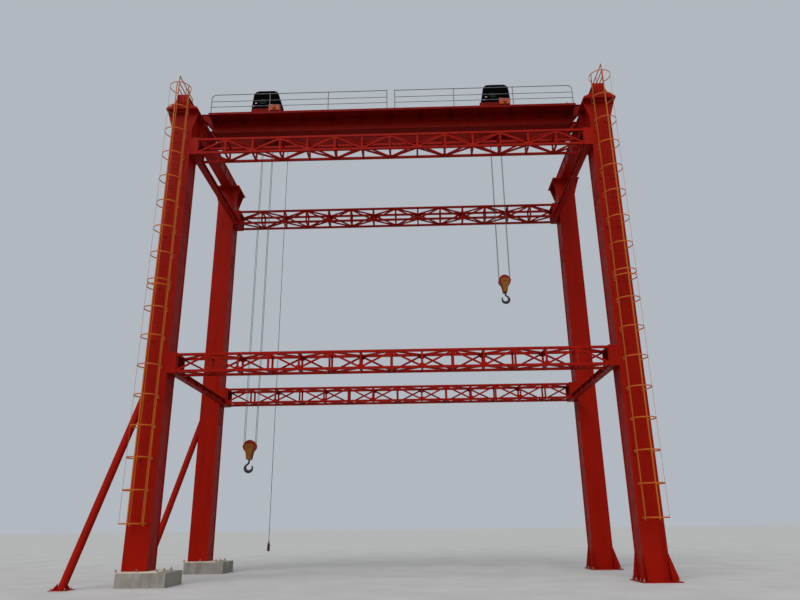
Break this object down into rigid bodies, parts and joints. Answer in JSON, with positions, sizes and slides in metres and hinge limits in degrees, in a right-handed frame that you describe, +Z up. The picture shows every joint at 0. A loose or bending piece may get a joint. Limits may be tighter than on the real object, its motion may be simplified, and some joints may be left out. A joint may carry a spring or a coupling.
{
  "type": "portal frame bridge crane",
  "caption": "Tall red steel frame of box columns and lattice trusses carrying a travelling bridge with rope hoists, hook blocks, caged ladders and handrails.",
  "frame": {"origin": "middle of the footprint, on the ground, at the bottom centre of the bounding box", "axes": "+X to the right along the bridge girders, +Y to the rear along the runways, +Z up"},
  "size_m": [24.76, 11.15, 25.92],
  "materials": {
    "frame_red": "glossy orange-red paint with weather streaks",
    "bridge_red": "glossy deep red paint",
    "ladder_yellow": "satin yellow-orange paint",
    "handrail_grey": "satin grey paint",
    "rail_steel": "worn, lightly rusted steel",
    "base_plate_steel": "light primer",
    "plinth_concrete": "rough cast concrete",
    "drum_steel": "greased steel",
    "cover_black": "satin black paint",
    "drive_orange": "satin orange paint",
    "rope_steel": "dark greased wire",
    "cheek_ochre": "worn ochre paint",
    "guard_red": "worn red paint",
    "hook_black": "satin black paint",
    "pendant_black": "black moulded housing"
  },
  "bodies": {
    "frame": {"front_left_leg": "frame_red", "front_right_leg": "frame_red", "rear_left_leg": "frame_red", "rear_right_leg": "frame_red", "leg_heads": "frame_red", "leg_feet": "frame_red", "base_plates": "base_plate_steel", "plinths": "plinth_concrete", "left_runway_beam": "frame_red", "right_runway_beam": "frame_red", "runway_rails": "rail_steel", "upper_front_truss": "frame_red", "upper_rear_truss": "frame_red", "lower_front_truss": "frame_red", "lower_rear_truss": "frame_red", "upper_side_ties": "frame_red", "lower_side_ties": "frame_red", "left_props": "frame_red", "left_ladder": "ladder_yellow", "right_ladder": "ladder_yellow"},
    "bridge": {"front_girder": "bridge_red", "rear_girder": "bridge_red", "left_end_carriage": "bridge_red", "right_end_carriage": "bridge_red", "trolley_rails": "rail_steel", "front_walkway": "bridge_red", "rear_walkway": "bridge_red", "front_handrail": "handrail_grey", "rear_handrail": "handrail_grey"},
    "left_trolley": {"left_trolley_frame": "bridge_red", "left_drum": "drum_steel", "left_cover": "cover_black", "left_drive_box": "drive_orange", "left_ropes": "rope_steel", "pendant": "pendant_black"},
    "right_trolley": {"right_trolley_frame": "bridge_red", "right_drum": "drum_steel", "right_cover": "cover_black", "right_drive_box": "drive_orange", "right_ropes": "rope_steel"},
    "left_block": {"left_block_cheeks": "cheek_ochre", "left_sheaves": "guard_red"},
    "right_block": {"right_block_cheeks": "cheek_ochre", "right_sheaves": "guard_red"},
    "left_hook": {"left_hook": "hook_black"},
    "right_hook": {"right_hook": "hook_black"}
  },
  "joints": [
    {"name": "bridge_travel", "type": "slide", "parent": "frame", "child": "bridge", "axis": [0, 1, 0], "range_m": [-1.2, 3]},
    {"name": "left_trolley_travel", "type": "slide", "parent": "bridge", "child": "left_trolley", "axis": [1, 0, 0], "range_m": [-1.8, 5.6]},
    {"name": "right_trolley_travel", "type": "slide", "parent": "bridge", "child": "right_trolley", "axis": [1, 0, 0], "range_m": [-4.9, 3.05]},
    {"name": "left_hoist", "type": "slide", "parent": "left_trolley", "child": "left_block", "axis": [0, 0, 1], "range_m": [-4, 14.5], "deforming": ["left_ropes"]},
    {"name": "right_hoist", "type": "slide", "parent": "right_trolley", "child": "right_block", "axis": [0, 0, 1], "range_m": [-12.4, 6.2], "deforming": ["right_ropes"]},
    {"name": "left_hook_turn", "type": "hinge", "parent": "left_block", "child": "left_hook", "pos_m": [-6.14, -0.425, 5.47], "axis": [0, 0, 1], "continuous": true},
    {"name": "right_hook_turn", "type": "hinge", "parent": "right_block", "child": "right_hook", "pos_m": [6.71, -0.425, 13.77], "axis": [0, 0, 1], "continuous": true}
  ]
}
